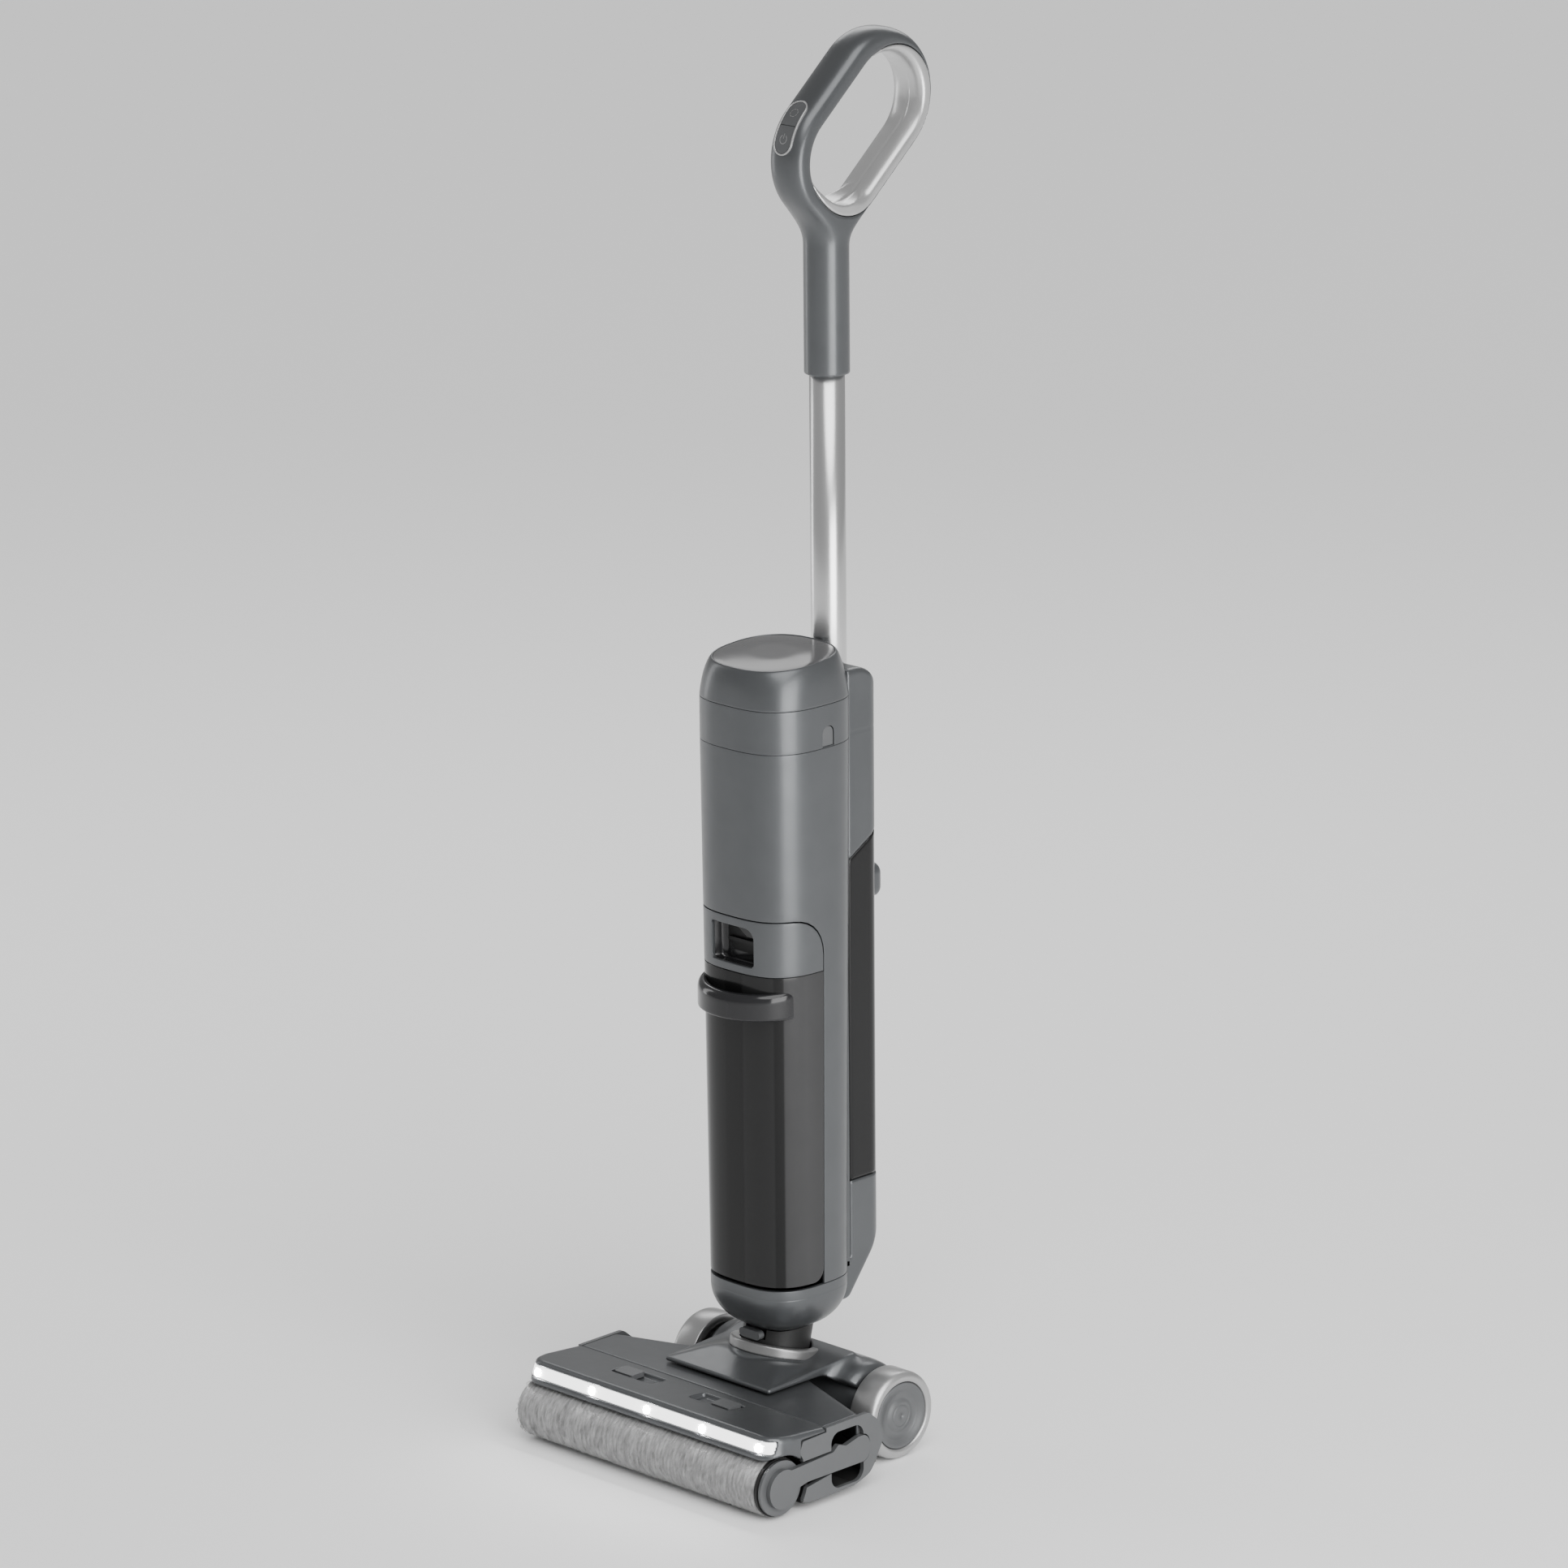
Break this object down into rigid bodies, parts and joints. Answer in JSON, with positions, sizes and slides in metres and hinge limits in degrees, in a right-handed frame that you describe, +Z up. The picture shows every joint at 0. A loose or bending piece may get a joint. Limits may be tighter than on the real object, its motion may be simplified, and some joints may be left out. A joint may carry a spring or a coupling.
{
  "type": "wet dry floor scrubber",
  "caption": "Upright wet dry floor scrubber with a powered roller head on two wheels, reclining and swivelling body, two lift-off tanks and a pole with a loop handle",
  "frame": {"origin": "on the floor at the middle of the whole outline", "axes": "+Z up, -Y towards the front of the roller head, +X to the right of someone behind the handle"},
  "size_m": [0.2762, 0.3224, 1.1038],
  "materials": {
    "graphite_shell": "satin metallic paint on ABS",
    "mid_grey_plastic": "satin moulded ABS",
    "silver_trim": "silver satin lacquer",
    "pole_aluminium": "satin anodised tube",
    "smoked_tank": "smoked glossy polycarbonate",
    "gloss_black": "polished black",
    "black_plastic": "fine moulded texture",
    "display_glass": "flat glossy lens",
    "wheel_silver": "silver metallic lacquer",
    "nap_fibre": "dense microfibre pile",
    "light_diffuser": "lit opal diffuser",
    "soft_rubber": "black rubber",
    "steel": "ground steel",
    "stamped_aluminium": "stamped sheet",
    "cell_wrap": "shrink-wrapped steel cells",
    "circuit_board": "green solder mask",
    "filter_paper": "pleated filter medium",
    "contact_brass": "plated contacts"
  },
  "bodies": {
    "head": {"side_plate_left": "mid_grey_plastic", "side_plate_right": "mid_grey_plastic", "motor_mount": "stamped_aluminium", "roller_motor_can": "steel", "head_chassis": "black_plastic", "wheel_axle": "steel", "rear_shell": "graphite_shell", "scraper_blade": "soft_rubber", "suction_duct": "black_plastic"},
    "left_wheel": {"wheel_left": "wheel_silver", "hubcap_left": "mid_grey_plastic"},
    "right_wheel": {"wheel_right": "wheel_silver", "hubcap_right": "mid_grey_plastic"},
    "cover": {"roller_cover": "graphite_shell", "light_strip": "light_diffuser"},
    "left_latch": {"cover_latch_left": "mid_grey_plastic"},
    "right_latch": {"cover_latch_right": "mid_grey_plastic"},
    "roller_carrier": {"roller_arm": "mid_grey_plastic"},
    "roller": {"roller_nap": "nap_fibre", "roller_core": "black_plastic"},
    "roller_drive": {"roller_motor_rotor": "steel"},
    "yoke": {"yoke_shell": "graphite_shell", "collar_ring": "silver_trim"},
    "upright": {"neck": "black_plastic", "lower_bowl": "graphite_shell", "main_housing": "graphite_shell", "display_band": "graphite_shell", "top_lid": "graphite_shell", "display_lens": "display_glass", "rear_housing": "graphite_shell", "rear_base": "graphite_shell", "water_pump": "black_plastic", "charging_contacts": "contact_brass", "fan_housing": "black_plastic", "suction_motor": "steel", "battery_cells": "cell_wrap", "main_board": "circuit_board", "air_duct": "black_plastic"},
    "neck_release": {"neck_button": "mid_grey_plastic"},
    "pole_catch": {"pole_release": "black_plastic"},
    "fan": {"fan_wheel": "stamped_aluminium"},
    "dirty_tank_unit": {"dirty_tank": "smoked_tank", "tank_frame": "graphite_shell", "tank_seal": "soft_rubber", "tank_grip": "gloss_black", "separator_tube": "black_plastic", "tank_filter": "filter_paper"},
    "tank_catch": {"tank_latch": "black_plastic"},
    "float": {"tank_float": "mid_grey_plastic"},
    "clean_tank_unit": {"clean_tank": "smoked_tank", "clean_tank_cap": "black_plastic", "tank_valve": "black_plastic", "clean_tank_grip": "graphite_shell"},
    "pole": {"pole_tube": "pole_aluminium", "grip_sleeve": "mid_grey_plastic", "handle_shell": "graphite_shell", "handle_liner": "silver_trim", "button_bezel": "silver_trim"},
    "mode_key": {"mode_button": "mid_grey_plastic"},
    "power_key": {"power_button": "mid_grey_plastic"}
  },
  "joints": [
    {"name": "upright_recline", "type": "hinge", "parent": "head", "child": "yoke", "pos_m": [0, 0.02045, 0.0352], "axis": [-1, 0, 0], "range_deg": [0, 60]},
    {"name": "upright_swivel", "type": "hinge", "parent": "yoke", "child": "upright", "pos_m": [0, -0.00755, 0.0747], "axis": [0, 0.2419, 0.9703], "range_deg": [-35, 35]},
    {"name": "left_wheel_spin", "type": "hinge", "parent": "head", "child": "left_wheel", "pos_m": [0, 0.02045, 0.0352], "axis": [1, 0, 0], "continuous": true},
    {"name": "right_wheel_spin", "type": "hinge", "parent": "head", "child": "right_wheel", "pos_m": [0, 0.02045, 0.0352], "axis": [1, 0, 0], "continuous": true},
    {"name": "cover_lift", "type": "slide", "parent": "head", "child": "cover", "axis": [0, 0, 1], "range_m": [0, 0.06]},
    {"name": "left_latch_slide", "type": "slide", "parent": "cover", "child": "left_latch", "axis": [1, 0, 0], "range_m": [0, 0.005], "stiffness_N_per_m": 300},
    {"name": "right_latch_slide", "type": "slide", "parent": "cover", "child": "right_latch", "axis": [-1, 0, 0], "range_m": [0, 0.005], "stiffness_N_per_m": 300},
    {"name": "roller_pull_out", "type": "slide", "parent": "head", "child": "roller_carrier", "axis": [1, 0, 0], "range_m": [0, 0.29]},
    {"name": "roller_spin", "type": "hinge", "parent": "roller_carrier", "child": "roller", "pos_m": [0, -0.13675, 0.0245], "axis": [1, 0, 0], "continuous": true},
    {"name": "roller_drive_spin", "type": "hinge", "parent": "head", "child": "roller_drive", "pos_m": [0, -0.13675, 0.0245], "axis": [1, 0, 0], "continuous": true},
    {"name": "neck_button_press", "type": "slide", "parent": "upright", "child": "neck_release", "axis": [0, 1, 0], "range_m": [0, 0.0025], "stiffness_N_per_m": 600},
    {"name": "pole_release_press", "type": "slide", "parent": "upright", "child": "pole_catch", "axis": [-1, 0, 0], "range_m": [0, 0.003], "stiffness_N_per_m": 600},
    {"name": "fan_spin", "type": "hinge", "parent": "upright", "child": "fan", "pos_m": [0, -0.00255, 0.45], "axis": [0, 0, 1], "continuous": true},
    {"name": "dirty_tank_pull_out", "type": "slide", "parent": "upright", "child": "dirty_tank_unit", "axis": [0, -1, 0], "range_m": [0, 0.14]},
    {"name": "tank_latch_press", "type": "slide", "parent": "dirty_tank_unit", "child": "tank_catch", "axis": [0, 0, -1], "range_m": [0, 0.004], "stiffness_N_per_m": 500},
    {"name": "float_rise", "type": "slide", "parent": "dirty_tank_unit", "child": "float", "axis": [0, 0, 1], "range_m": [0, 0.018]},
    {"name": "clean_tank_pull_out", "type": "slide", "parent": "upright", "child": "clean_tank_unit", "axis": [0, 1, 0], "range_m": [0, 0.1]},
    {"name": "pole_lift_out", "type": "slide", "parent": "upright", "child": "pole", "axis": [0, 0, 1], "range_m": [0, 0.07]},
    {"name": "mode_button_press", "type": "slide", "parent": "pole", "child": "mode_key", "axis": [0, 0.7132, -0.7009], "range_m": [0, 0.0008], "stiffness_N_per_m": 900},
    {"name": "power_button_press", "type": "slide", "parent": "pole", "child": "power_key", "axis": [0, 0.9367, -0.3502], "range_m": [0, 0.0008], "stiffness_N_per_m": 900}
  ],
  "couplings": [
    {"joint": "roller_drive_spin", "follows": "roller_spin", "ratio": 1}
  ]
}
